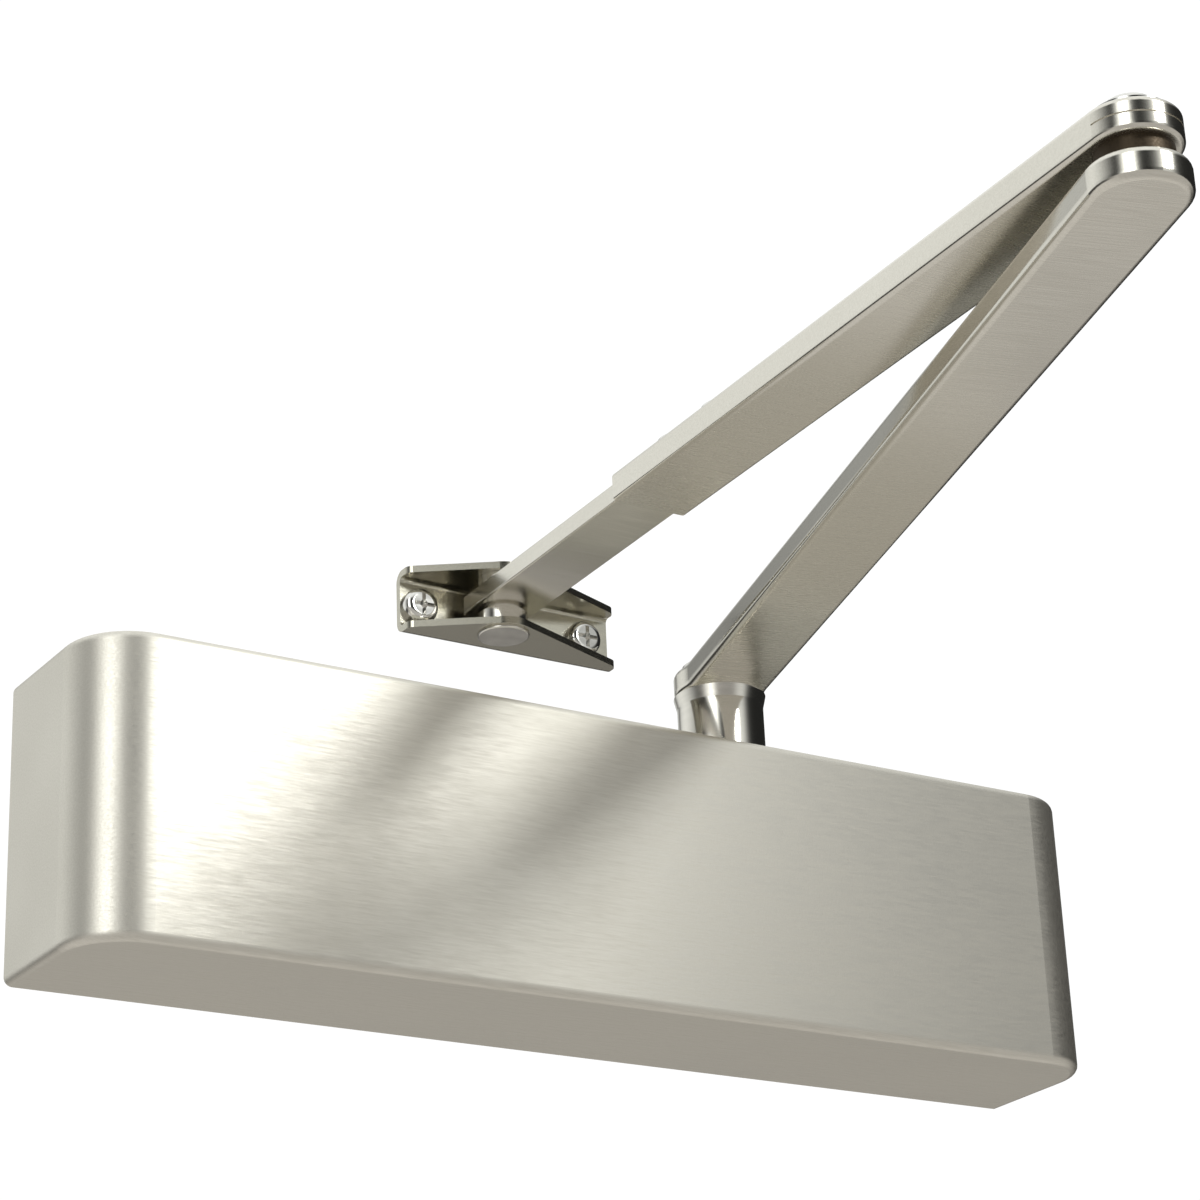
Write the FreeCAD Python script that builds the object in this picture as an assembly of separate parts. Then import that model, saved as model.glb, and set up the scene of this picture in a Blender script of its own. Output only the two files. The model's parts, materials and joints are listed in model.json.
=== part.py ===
import FreeCAD, Part
import math
import os

# An overhead door closer: a rack-and-pinion hydraulic body under a U-shaped cover, a folding pair of arms on
# top of its spindle, and the shoe that screws to the door frame. Millimetres. The origin is the middle of the
# four fixing holes on the door face (the plane y = 0). +X runs along the cover, +Y into the door, +Z up.

V = FreeCAD.Vector
X_AXIS = V(1, 0, 0)
Z_AXIS = V(0, 0, 1)

# Rack and pinion
MODULE = 1.25
TEETH = 13
PRESSURE_ANGLE = 25.0
ADDENDUM = 1.0 * MODULE
DEDENDUM = 1.25 * MODULE
BACKLASH = 0.06
SPINDLE_TRAVEL = 180.0
RACK_BACK = 4.3
WINDOW_GAP = 1.5
TOOTH_BORE_SHARE = 0.85
PISTON_HEAD = 13.0
FLANK_POINTS = 7

# Fits and gaps, all on the radius or on one side
RUNNING_FIT = 0.05
PRESS_GAP = 0.03
THREAD_GAP = 0.05
VALVE_GAP = 0.10
FACE_GAP = 0.05
OPEN_GAP = 0.3

# Housing
BARREL_WALL = 3.2
BARREL_BACK = 1.8
BASE_DEPTH = 8.0
BASE_HALF_HEIGHT = 22.0
BASE_CORNER_R = 3.0
FOOT_LENGTH = 16.0
FOOT_DEPTH = 6.0
FOOT_HALF_HEIGHT = 20.0
FOOT_CORNER_R = 4.0
FIXING_HOLE_R = 2.75
FIXING_FROM_END = 8.0
FIXING_HALF_SPACING = 14.0
BOSS_R = 16.5
BOSS_TOP_GAP = 5.0
LOBE_R = 5.2
LOBE_WALL = 1.5

# Cover
COVER_LENGTH = 240.0
COVER_HEIGHT = 62.0
COVER_WALL = 1.5
COVER_CORNER_R = 14.0
COVER_EDGE_R = 1.8
COVER_TAPER = 0.75
COVER_FRONT_GAP = 0.3
END_SPACE = 21.5
NOTCH_GAP = 0.7
CLIP_THICKNESS = 0.8
CLIP_HALF_HEIGHT = 6.0
CLIP_PAST_CORNER = 3.0
CLIP_BOW = 0.6
CLIP_SCREW_R = 1.5
CLIP_SCREW_HEAD_R = 2.8
CLIP_SCREW_HEAD = 1.8
CLIP_SCREW_LENGTH = 4.5

# End plugs
PLUG_LENGTH = 9.0
CHAMBER = 2.1
PLUG_SOCKET = 12.0
PLUG_SOCKET_DEPTH = 5.0
PLUG_RING_R = 0.75
PLUG_RING_FROM_FACE = 2.5
RING_SLACK = 0.03

# Spindle, its bearings and its seals
JOURNAL_R = 7.0
BEARING_R = 10.2
BEARING_LENGTH = 8.5
NUT_R = 13.0
NUT_DEPTH = 5.0
NUT_FLANGE_R = 14.5
NUT_FLANGE = 2.0
NUT_PIN_HOLE_R = 1.2
NUT_PIN_HOLES = 4
SEAL_R = 10.0
SEAL_LENGTH = 3.2
STEM_R = 6.5
SQUARE = 9.2
LOWER_SQUARE_LENGTH = 2.0
SQUARE_SHORT = 0.4

# Collar, main arm and its screw
COLLAR_R = 9.45
COLLAR_HEIGHT = 17.2
COLLAR_LIFT = 0.5
FLARE_R = 10.1
FLARE_HEIGHT = 2.7
ARM_LENGTH = 218.8
ARM_ANGLE = -105.35
ARM_WIDTH = 18.2
ARM_THICKNESS = 6.0
ARM_HUB_R = 9.9
ARM_HUB_BLEND_R = 14.0
ARM_EDGE_R = 1.5
ARM_SCREW_R = 3.0
ARM_SCREW_LENGTH = 11.0
ARM_SCREW_HEAD_R = 5.2
ARM_SCREW_HEAD = 3.2
ARM_SCREW_KEY = 4.0
ARM_WASHER_R = 8.0
ARM_WASHER = 1.2

# Elbow
ELBOW_GAP = 3.3
ELBOW_STUD_R = 4.0
ELBOW_SKIN = 1.2
ELBOW_BUSH_R = 5.5
ELBOW_FLANGE_R = 6.8
ELBOW_SCREW_R = 2.5
ELBOW_SCREW_LENGTH = 5.0
ELBOW_SCREW_HEAD_R = 4.6
ELBOW_SCREW_HEAD = 2.4
ELBOW_WASHER_R = 6.8
ELBOW_WASHER = 0.8

# Telescoping forearm
FOREARM_LENGTH = 210.6
FOREARM_ANGLE = 89.16
TUBE_LENGTH = 150.5
TUBE_WIDTH = 17.0
TUBE_WALL = 1.0
TUBE_EDGE_R = 1.1
TUBE_SOLID_END = 20.0
SEAM_DEPTH = 0.25
SEAM_HEIGHT = 0.3
BAR_WIDTH = 13.8
BAR_THICKNESS = 4.0
BAR_INSERTED = 75.0
BAR_TAIL = 5.7
BAR_CORNER_R = 1.5
BAR_EDGE_R = 0.35
LOCK_BOSS_R = 4.2
LOCK_BOSS = 1.6
LOCK_FROM_MOUTH = (11.0, 27.0)
LOCK_SCREW_R = 2.5
LOCK_HEAD_R = 4.0
LOCK_HEAD = 2.4
LOCK_KEY = 2.5
LOCK_HEAD_LIFT = 0.5
LOCK_TIP_GAP = 0.1

# Frame shoe
SHOE_LEFT = 20.0
SHOE_RIGHT = 31.4
SHOE_BACK = 10.3
SHOE_END_DEPTH = 4.9
SHOE_APEX_R = 6.5
SHOE_PLATE = 1.5
SHOE_BEND_R = 1.0
SHOE_END_R = 2.2
LOWER_SPACER = 3.7
UPPER_SPACER = 3.4
SPACER_R = 5.2
SPACER_NECK_R = 4.2
SPACER_NECK = 0.7
RIVET_R = 2.5
RIVET_HEAD_R = 5.55
RIVET_HEAD = 0.6
RIVET_EDGE_R = 0.35
SHOE_SCREW_R = 2.0
SHOE_SCREW_HEAD_R = 3.95
SHOE_SCREW_HEAD = 2.8
SHOE_SCREW_BEHIND = 4.0
SHOE_SCREW_NECK_R = 1.7
SHOE_SCREW_NECK_PAST = 0.3
SHOE_SCREW_DROP = 0.6
SHOE_SCREW_LEFT = 15.7
SHOE_SCREW_RIGHT = 24.8

# Springs, spring seat and power adjuster
SEAT_GAP = 2.0
SEAT_THICKNESS = 5.0
SEAT_R_GAP = 0.6
GUIDE_GAP = 0.4
GUIDE_WALL = 1.15
GUIDE_LENGTH = 6.0
SPRING_BORE_GAP = 1.5
OUTER_WIRE_R = 1.5
OUTER_PITCH = 6.6
INNER_WIRE_R = 0.95
INNER_PITCH = 4.4
ADJUSTER_R = 4.0
ADJUSTER_HEAD_R = 5.6
ADJUSTER_HEAD = 4.5
ADJUSTER_KEY = 5.0
ADJUSTER_BEYOND_SEAT = 16.0
CIRCLIP_R = 6.0
CIRCLIP = 0.8
ADJUSTER_RING_R = 0.6

# Regulating valves and the check valve in the piston
VALVE_R = 3.0
VALVE_LENGTH = 22.0
VALVE_TIP = 4.0
VALVE_TIP_R = 0.8
VALVE_SLOT = 0.9
VALVE_SLOT_DEPTH = 1.2
VALVE_RING_R = 0.4
VALVE_RING_FROM_HEAD = 5.0
CHECK_BALL_R = 1.9
CHECK_POCKET_R = 2.3
CHECK_PORT_R = 1.1
CHECK_LIFT = 0.8
CHECK_CAP = 2.0

# Drive recesses shared by the screws
RECESS_DEPTH = 1.5
RECESS_WING = 0.9
RECESS_SPAN = 0.62
KEY_DEPTH_SHARE = 0.6

# Places worked out from the sizes above
PITCH_R = MODULE * TEETH / 2
TIP_R = PITCH_R + ADDENDUM
ROOT_R = PITCH_R - DEDENDUM
BASE_R = PITCH_R * math.cos(math.radians(PRESSURE_ANGLE))
TOOTH_PITCH = math.pi * MODULE
STROKE = PITCH_R * math.radians(SPINDLE_TRAVEL)
BORE_R = PITCH_R + DEDENDUM + RACK_BACK
BARREL_R = BORE_R + BARREL_WALL
BODY_R = max(BARREL_R, BOSS_R)
AXIS_Y = -(BARREL_BACK + BODY_R)
COVER_DEPTH = -AXIS_Y + BODY_R + COVER_FRONT_GAP + COVER_WALL
CLIP_DEPTH = COVER_DEPTH - COVER_CORNER_R + CLIP_PAST_CORNER
HOUSING_END = COVER_LENGTH / 2 - COVER_WALL - END_SPACE
PISTON_RIGHT = HOUSING_END - PLUG_LENGTH - CHAMBER
WINDOW_REACH = max(TIP_R + WINDOW_GAP, BEARING_R + OPEN_GAP)
SPINDLE_X = PISTON_RIGHT - PISTON_HEAD - STROKE - WINDOW_REACH
PISTON_LEFT = SPINDLE_X - WINDOW_REACH - PISTON_HEAD
PISTON_R = BORE_R - RUNNING_FIT
OUTER_SPRING_R = BORE_R - SPRING_BORE_GAP - OUTER_WIRE_R
GUIDE_OUTER_R = OUTER_SPRING_R - OUTER_WIRE_R - GUIDE_GAP
GUIDE_INNER_R = GUIDE_OUTER_R - GUIDE_WALL
INNER_SPRING_R = GUIDE_INNER_R - GUIDE_GAP - INNER_WIRE_R
SEAT_LEFT = -HOUSING_END + PLUG_LENGTH + SEAT_GAP
SEAT_RIGHT = SEAT_LEFT + SEAT_THICKNESS
FOOT_END = HOUSING_END + FOOT_LENGTH
FIXING_X = FOOT_END - FIXING_FROM_END
BOSS_HALF = COVER_HEIGHT / 2 - COVER_WALL - BOSS_TOP_GAP
NUT_TOP = BOSS_HALF + NUT_FLANGE
BEARING_TOP = BOSS_HALF - NUT_DEPTH - FACE_GAP
BEARING_BOTTOM = BEARING_TOP - BEARING_LENGTH
TOOTH_HALF = min(BEARING_BOTTOM - OPEN_GAP, TOOTH_BORE_SHARE * BORE_R)
LOBE_Z = BORE_R + LOBE_WALL + VALVE_R + VALVE_GAP
ARM_Z = COVER_HEIGHT / 2 + COLLAR_HEIGHT
ARM_TOP = ARM_Z + ARM_THICKNESS
TUBE_Z = ARM_TOP + ELBOW_GAP
TUBE_THICKNESS = 2 * TUBE_WALL + BAR_THICKNESS + 2 * FACE_GAP
TUBE_TOP = TUBE_Z + TUBE_THICKNESS
BAR_Z = TUBE_Z + TUBE_WALL + FACE_GAP
BAR_TOP = BAR_Z + BAR_THICKNESS
LOWER_LUG_TOP = BAR_Z - LOWER_SPACER
SHOE_BOTTOM = LOWER_LUG_TOP - SHOE_PLATE
UPPER_LUG_BOTTOM = BAR_TOP + UPPER_SPACER
SHOE_TOP = UPPER_LUG_BOTTOM + SHOE_PLATE
HUB = V(SPINDLE_X, AXIS_Y, 0)
ELBOW = HUB + V(math.cos(math.radians(ARM_ANGLE)), math.sin(math.radians(ARM_ANGLE)), 0) * ARM_LENGTH
FOREARM_DIRECTION = V(math.cos(math.radians(FOREARM_ANGLE)), math.sin(math.radians(FOREARM_ANGLE)), 0)
SHOE_PIVOT = ELBOW + FOREARM_DIRECTION * FOREARM_LENGTH
SHOE_BACK_Y = SHOE_PIVOT.y + SHOE_BACK
SHOE_FRONT_FACE_Y = SHOE_BACK_Y - SHOE_PLATE
SHOE_SCREW_Z = (SHOE_BOTTOM + SHOE_TOP) / 2 - SHOE_SCREW_DROP


# ---------------------------------------------------------------- small building blocks
def box(x0, x1, y0, y1, z0, z1):
    return Part.makeBox(x1 - x0, y1 - y0, z1 - z0, V(x0, y0, z0))


def rod_x(x0, x1, radius, y=AXIS_Y, z=0.0):
    return Part.makeCylinder(radius, x1 - x0, V(x0, y, z), X_AXIS)


def rod_z(centre, z0, z1, radius):
    return Part.makeCylinder(radius, z1 - z0, V(centre.x, centre.y, z0), Z_AXIS)


def ring_z(centre, z0, z1, outer, inner):
    return rod_z(centre, z0, z1, outer).cut(rod_z(centre, z0, z1, inner))


def hexagon(across_flats, depth):
    """A hexagonal prism standing on z = 0."""
    radius = across_flats / math.sqrt(3)
    corners = [V(radius * math.cos(math.radians(60 * k)), radius * math.sin(math.radians(60 * k)), 0)
               for k in range(7)]
    return Part.Face(Part.makePolygon(corners)).extrude(V(0, 0, depth))


def prism(corners, height):
    """A straight-sided prism on a closed run of corner points."""
    return Part.Face(Part.makePolygon(corners + [corners[0]])).extrude(V(0, 0, height))


def upright_edges(shape, centre, reach):
    """The edges parallel to Z whose middle lies within reach of a plan point."""
    found = []
    for edge in shape.Edges:
        middle = edge.CenterOfMass
        tall = edge.BoundBox.ZLength > 0.99 * edge.Length
        near = math.hypot(middle.x - centre.x, middle.y - centre.y) < reach
        if tall and near and edge.Curve.TypeId == "Part::GeomLine":
            found.append(edge)
    return found


def level_edges(shape, heights):
    """The edges that lie wholly at one of the given heights."""
    found = []
    for edge in shape.Edges:
        flat = edge.BoundBox.ZLength < 1e-4
        if flat and any(abs(edge.BoundBox.ZMin - height) < 1e-4 for height in heights):
            found.append(edge)
    return found


def moved(shape, place, turn=0.0, about=Z_AXIS):
    """A copy turned about the origin and then moved to its place."""
    result = shape.copy()
    result.rotate(V(0, 0, 0), about, turn)
    result.translate(place)
    return result


def pointed(shape, place, direction):
    """A copy whose +Z is turned to a direction and whose origin goes to a place."""
    result = shape.copy()
    result.Placement = FreeCAD.Placement(place, FreeCAD.Rotation(Z_AXIS, direction))
    return result


def domed_head(radius, height):
    """A pan head on z = 0: a short drum under a shallow dome."""
    drum = Part.makeCylinder(radius, height)
    rim = [edge for edge in drum.Edges if abs(edge.CenterOfMass.z - height) < 1e-6 and edge.Closed]
    return drum.makeFillet(min(0.55 * height, 0.6 * radius), rim[:1])


def cross_recess(head_radius, height):
    """The cross-shaped socket sunk in the top of a head of that height."""
    reach = head_radius * RECESS_SPAN
    half = RECESS_WING / 2
    first = box(-reach, reach, -half, half, height - RECESS_DEPTH, height + 1)
    second = box(-half, half, -reach, reach, height - RECESS_DEPTH, height + 1)
    point = Part.makeCone(0.3, RECESS_WING, RECESS_DEPTH, V(0, 0, height - RECESS_DEPTH))
    return first.fuse([second, point])


def cross_screw(radius, length, head_radius, head):
    """A pan-head screw with a cross recess: its head stands on z = 0 and its shank hangs below."""
    shank = Part.makeCylinder(radius, length, V(0, 0, -length))
    body = domed_head(head_radius, head).cut(cross_recess(head_radius, head))
    return body.fuse(shank).removeSplitter()


def key_screw(radius, length, head_radius, head, key):
    """A round-head screw with a hexagonal socket, standing like cross_screw."""
    depth = head * KEY_DEPTH_SHARE
    socket = moved(hexagon(key, depth + 1), V(0, 0, head - depth))
    shank = Part.makeCylinder(radius, length, V(0, 0, -length))
    return domed_head(head_radius, head).cut(socket).fuse(shank).removeSplitter()


def o_ring(centre_line_r, wire_r, place, direction):
    return Part.makeTorus(centre_line_r, wire_r, place, direction)


def bar_outline(length, half_width, hub_r, z0, z1):
    """A flat bar from the origin along +X, rounded at both ends, with a round hub at the origin."""
    bar = box(0, length, -half_width, half_width, z0, z1)
    hub = rod_z(V(0, 0, 0), z0, z1, hub_r)
    tip = rod_z(V(length, 0, 0), z0, z1, half_width)
    return bar.fuse([hub, tip]).removeSplitter()


# ---------------------------------------------------------------- cover and its clips
def cover_block(inset, top, corner_r):
    """The cover's outer block, or with an inset the hollow inside it, open past the door plane."""
    half = COVER_LENGTH / 2 - inset
    front = -COVER_DEPTH + inset
    back = 0.0 if inset == 0 else 1.0
    corners = [V(-half, back, -top), V(-half + COVER_TAPER, front, -top),
               V(half - COVER_TAPER, front, -top), V(half, back, -top)]
    block = prism(corners, 2 * top)
    uprights = [edge for side in (-1, 1) for edge in upright_edges(block, V(side * half, front, 0), 3.0)]
    return block.makeFillet(corner_r, uprights)


def cover():
    top = COVER_HEIGHT / 2
    outer = cover_block(0.0, top, COVER_CORNER_R)
    rims = [edge for edge in level_edges(outer, (-top, top)) if edge.BoundBox.YMin < -1e-3]
    outer = outer.makeFillet(COVER_EDGE_R, rims)
    inner = cover_block(COVER_WALL, top - COVER_WALL, COVER_CORNER_R - COVER_WALL)
    notch_r = COLLAR_R + NOTCH_GAP
    notch = rod_z(HUB, 0, top + 1, notch_r)
    throat = box(SPINDLE_X - notch_r, SPINDLE_X + notch_r, AXIS_Y, 1, 0, top + 1)
    return outer.cut(inner).cut(notch.fuse(throat))


def clip_strip(side):
    """One spring strip: a foot on the housing's flange and a bowed leg along the cover's end wall."""
    wall = COVER_LENGTH / 2 - COVER_WALL - OPEN_GAP
    leg = wall - CLIP_BOW
    tip = -CLIP_DEPTH
    middle = (tip - FOOT_DEPTH) / 2
    lean = COVER_TAPER * -tip / COVER_DEPTH
    face = -FOOT_DEPTH
    outside = [V(HOUSING_END + OPEN_GAP, face, 0), V(leg, face, 0), V(wall - lean, middle, 0), V(leg - lean, tip, 0)]
    inside = [V(leg - lean - CLIP_THICKNESS, tip, 0), V(wall - lean - CLIP_THICKNESS, middle, 0),
              V(leg - CLIP_THICKNESS, face - CLIP_THICKNESS, 0),
              V(HOUSING_END + OPEN_GAP, face - CLIP_THICKNESS, 0)]
    strip = prism(outside + inside, 2 * CLIP_HALF_HEIGHT)
    hole = Part.makeCylinder(CLIP_SCREW_R + VALVE_GAP, FOOT_DEPTH, V(FIXING_X, face - 3, CLIP_HALF_HEIGHT), V(0, 1, 0))
    strip = strip.cut(hole)
    strip.translate(V(0, 0, -CLIP_HALF_HEIGHT))
    if side < 0:
        strip = strip.mirror(V(0, 0, 0), X_AXIS)
    return strip


def cover_clips():
    return Part.makeCompound([clip_strip(-1), clip_strip(1)])


def cover_clip_screws():
    screw = cross_screw(CLIP_SCREW_R, CLIP_SCREW_LENGTH, CLIP_SCREW_HEAD_R, CLIP_SCREW_HEAD)
    face = -FOOT_DEPTH - CLIP_THICKNESS
    return Part.makeCompound([pointed(screw, V(side * FIXING_X, face, 0), V(0, -1, 0)) for side in (-1, 1)])


# ---------------------------------------------------------------- housing
def housing_base():
    slab = box(-HOUSING_END, HOUSING_END, -BASE_DEPTH, 0, -BASE_HALF_HEIGHT, BASE_HALF_HEIGHT)
    long_edges = [edge for edge in slab.Edges if edge.BoundBox.XLength > 1 and edge.BoundBox.YMin < -1]
    return slab.makeFillet(BASE_CORNER_R, long_edges)


def housing_feet():
    plate = box(-FOOT_END, FOOT_END, -FOOT_DEPTH, 0, -FOOT_HALF_HEIGHT, FOOT_HALF_HEIGHT)
    corners = [edge for edge in plate.Edges if edge.BoundBox.YLength > 1]
    return plate.makeFillet(FOOT_CORNER_R, corners)


def housing():
    solid = housing_base().fuse([
        housing_feet(),
        rod_x(-HOUSING_END, HOUSING_END, BARREL_R),
        rod_x(-HOUSING_END, HOUSING_END, LOBE_R, z=LOBE_Z),
        rod_x(-HOUSING_END, HOUSING_END, LOBE_R, z=-LOBE_Z),
        rod_z(HUB, -BOSS_HALF, BOSS_HALF, BOSS_R),
    ])
    deep = HOUSING_END + 1
    valve_hole = VALVE_R + VALVE_GAP
    cuts = [
        rod_x(-deep, deep, BORE_R),
        rod_z(HUB, -COVER_HEIGHT / 2, COVER_HEIGHT / 2, BEARING_R + PRESS_GAP),
        rod_z(HUB, BOSS_HALF - NUT_DEPTH, COVER_HEIGHT / 2, NUT_R + THREAD_GAP),
        rod_z(HUB, -COVER_HEIGHT / 2, -BOSS_HALF + NUT_DEPTH, NUT_R + THREAD_GAP),
        rod_z(HUB, BOSS_HALF, COVER_HEIGHT / 2, NUT_FLANGE_R + OPEN_GAP),
        rod_z(HUB, -COVER_HEIGHT / 2, -BOSS_HALF, NUT_FLANGE_R + OPEN_GAP),
        rod_x(HOUSING_END - VALVE_LENGTH - 1, deep, valve_hole, z=LOBE_Z),
        rod_x(HOUSING_END - VALVE_LENGTH - 1, deep, valve_hole, z=-LOBE_Z),
        rod_x(-deep, -HOUSING_END + VALVE_LENGTH + 1, valve_hole, z=LOBE_Z),
    ]
    for x in (-FIXING_X, FIXING_X):
        for z in (-FIXING_HALF_SPACING, FIXING_HALF_SPACING):
            cuts.append(Part.makeCylinder(FIXING_HOLE_R, FOOT_DEPTH + 2, V(x, -FOOT_DEPTH - 1, z), V(0, 1, 0)))
        screw_hole = CLIP_SCREW_R + THREAD_GAP
        cuts.append(Part.makeCylinder(screw_hole, CLIP_SCREW_LENGTH, V(x, -FOOT_DEPTH - 0.1, 0), V(0, 1, 0)))
    return solid.cut(cuts).removeSplitter()


# ---------------------------------------------------------------- end plugs and their rings
def plug_blank(face, side):
    """A threaded plug from an end face of the bore inwards, with a groove for its sealing ring."""
    inner = face - side * PLUG_LENGTH
    radius = BORE_R - THREAD_GAP
    blank = rod_x(min(face, inner), max(face, inner), radius)
    groove = inner + side * PLUG_RING_FROM_FACE
    width = PLUG_RING_R + RING_SLACK
    floor = radius - 2 * (PLUG_RING_R + RING_SLACK)
    band = rod_x(groove - width, groove + width, radius + 1).cut(rod_x(groove - width, groove + width, floor))
    return blank.cut(band)


def valve_end_plug():
    face = HOUSING_END
    socket = pointed(hexagon(PLUG_SOCKET, PLUG_SOCKET_DEPTH + 1), V(face - PLUG_SOCKET_DEPTH, AXIS_Y, 0), X_AXIS)
    return plug_blank(face, 1).cut(socket)


def spring_end_plug():
    face = -HOUSING_END
    seat = rod_x(face - 1, face + ADJUSTER_HEAD, ADJUSTER_HEAD_R + VALVE_GAP)
    bore = rod_x(face - 1, face + PLUG_LENGTH + 1, ADJUSTER_R + VALVE_GAP)
    return plug_blank(face, -1).cut([seat, bore])


def plug_seals():
    centre_line = BORE_R - THREAD_GAP - RING_SLACK - PLUG_RING_R
    rings = []
    for side in (-1, 1):
        x = side * (HOUSING_END - PLUG_LENGTH + PLUG_RING_FROM_FACE)
        rings.append(o_ring(centre_line, PLUG_RING_R, V(x, AXIS_Y, 0), X_AXIS))
    return Part.makeCompound(rings)


# ---------------------------------------------------------------- spindle bearings, nuts and seals
def bearing(side):
    """A needle bearing's drawn cup: a plain ring with turned-in lips."""
    low = BEARING_BOTTOM if side > 0 else -BEARING_TOP
    inner = JOURNAL_R + RUNNING_FIT
    ring = ring_z(HUB, low, low + BEARING_LENGTH, BEARING_R, inner)
    relief = ring_z(HUB, low - 1, low + 0.6, BEARING_R - 1.2, JOURNAL_R + 1.0)
    far_relief = ring_z(HUB, low + BEARING_LENGTH - 0.6, low + BEARING_LENGTH + 1, BEARING_R - 1.2, JOURNAL_R + 1.0)
    return ring.cut([relief, far_relief])


def bearing_nut(side):
    """The threaded ring that closes the bearing's pocket, with pin holes for its spanner."""
    body = ring_z(HUB, BOSS_HALF - NUT_DEPTH, NUT_TOP, NUT_R, JOURNAL_R + OPEN_GAP)
    flange = ring_z(HUB, BOSS_HALF, NUT_TOP, NUT_FLANGE_R, JOURNAL_R + OPEN_GAP)
    pocket = rod_z(HUB, NUT_TOP - SEAL_LENGTH, NUT_TOP + 1, SEAL_R + PRESS_GAP)
    nut = body.fuse(flange).cut(pocket)
    holes = []
    for k in range(NUT_PIN_HOLES):
        angle = 2 * math.pi * (k + 0.5) / NUT_PIN_HOLES
        radius = (SEAL_R + NUT_FLANGE_R) / 2
        place = HUB + V(radius * math.cos(angle), radius * math.sin(angle), 0)
        holes.append(rod_z(place, BOSS_HALF - 1, NUT_TOP + 1, NUT_PIN_HOLE_R))
    nut = nut.cut(holes).removeSplitter()
    return nut if side > 0 else nut.mirror(V(0, 0, 0), Z_AXIS)


def shaft_seal(side):
    """A lip seal: a ring with a groove in its open face."""
    ring = ring_z(HUB, NUT_TOP - SEAL_LENGTH, NUT_TOP - 0.2, SEAL_R, JOURNAL_R + RUNNING_FIT)
    groove = ring_z(HUB, NUT_TOP - 1.2, NUT_TOP + 1, SEAL_R - 0.9, JOURNAL_R + 0.9)
    seal = ring.cut(groove)
    return seal if side > 0 else seal.mirror(V(0, 0, 0), Z_AXIS)


# ---------------------------------------------------------------- pinion spindle, rack piston
def polar(radius, angle):
    return V(radius * math.cos(angle), radius * math.sin(angle), 0)


def involute_angle(roll):
    """How far round an involute has come after unrolling by an angle from its base circle."""
    return roll - math.atan(roll)


def tooth_flank(centre, side, half_base):
    """One flank of a pinion tooth, from the base circle out to the tip, as a smooth curve."""
    last = math.sqrt((TIP_R / BASE_R) ** 2 - 1)
    points = []
    for k in range(FLANK_POINTS):
        roll = last * k / (FLANK_POINTS - 1)
        radius = BASE_R * math.sqrt(1 + roll * roll)
        points.append(polar(radius, centre + side * (half_base - involute_angle(roll))))
    curve = Part.BSplineCurve()
    curve.interpolate(points)
    return curve.toShape(), points[0], points[-1]


def pinion_teeth():
    """The involute gear: root arcs, radial lines up to the base circle, flanks and tip arcs."""
    pressure = math.radians(PRESSURE_ANGLE)
    half_base = math.pi / (2 * TEETH) - BACKLASH / PITCH_R + math.tan(pressure) - pressure
    edges = []
    step = 2 * math.pi / TEETH
    for k in range(TEETH):
        centre = -math.pi / 2 + k * step
        rising, right_base, right_tip = tooth_flank(centre, -1, half_base)
        falling, left_base, left_tip = tooth_flank(centre, 1, half_base)
        right_root = polar(ROOT_R, centre - half_base)
        left_root = polar(ROOT_R, centre + half_base)
        next_root = polar(ROOT_R, centre + step - half_base)
        edges += [
            Part.makeLine(right_root, right_base), rising,
            Part.Arc(right_tip, polar(TIP_R, centre), left_tip).toShape(), falling,
            Part.makeLine(left_base, left_root),
            Part.Arc(left_root, polar(ROOT_R, centre + step / 2), next_root).toShape(),
        ]
    wire = Part.Wire(Part.__sortEdges__(edges))
    gear = Part.Face(wire).extrude(V(0, 0, 2 * TOOTH_HALF))
    gear.translate(HUB - V(0, 0, TOOTH_HALF))
    return gear


def pinion_spindle():
    half = SQUARE / 2
    top = ARM_TOP - SQUARE_SHORT
    bottom = -NUT_TOP - LOWER_SQUARE_LENGTH
    journals = [rod_z(HUB, -NUT_TOP, -TOOTH_HALF, JOURNAL_R), rod_z(HUB, TOOTH_HALF, NUT_TOP, JOURNAL_R)]
    stem = rod_z(HUB, NUT_TOP, ARM_Z - FACE_GAP, STEM_R)
    square = box(SPINDLE_X - half, SPINDLE_X + half, AXIS_Y - half, AXIS_Y + half, bottom, top)
    square = square.common(rod_z(HUB, bottom, top, STEM_R))
    core = box(SPINDLE_X - half, SPINDLE_X + half, AXIS_Y - half, AXIS_Y + half, -NUT_TOP + 1, ARM_Z - 1)
    thread = rod_z(HUB, ARM_TOP - ARM_SCREW_LENGTH - 1.5, ARM_TOP + 1, ARM_SCREW_R + THREAD_GAP)
    shaft = pinion_teeth().fuse(journals + [stem, square.cut(core)])
    return shaft.cut(thread).removeSplitter()


def rack_line(x0, x1):
    """The toothed front edge of the piston's window, from x1 back to x0, teeth pointing at the pinion."""
    line_y = AXIS_Y - PITCH_R
    slope = math.tan(math.radians(PRESSURE_ANGLE))
    at_pitch = TOOTH_PITCH / 4 - BACKLASH
    half_tip = at_pitch - ADDENDUM * slope
    half_root = at_pitch + DEDENDUM * slope
    tip_y = line_y + ADDENDUM
    root_y = line_y - DEDENDUM
    points = [V(x1, root_y, 0)]
    first = math.ceil((x0 + half_root - SPINDLE_X) / TOOTH_PITCH - 0.5)
    last = math.floor((x1 - half_root - SPINDLE_X) / TOOTH_PITCH - 0.5)
    for k in range(last, first - 1, -1):
        x = SPINDLE_X + (k + 0.5) * TOOTH_PITCH
        points += [V(x + half_root, root_y, 0), V(x + half_tip, tip_y, 0),
                   V(x - half_tip, tip_y, 0), V(x - half_root, root_y, 0)]
    points.append(V(x0, root_y, 0))
    return points


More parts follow.
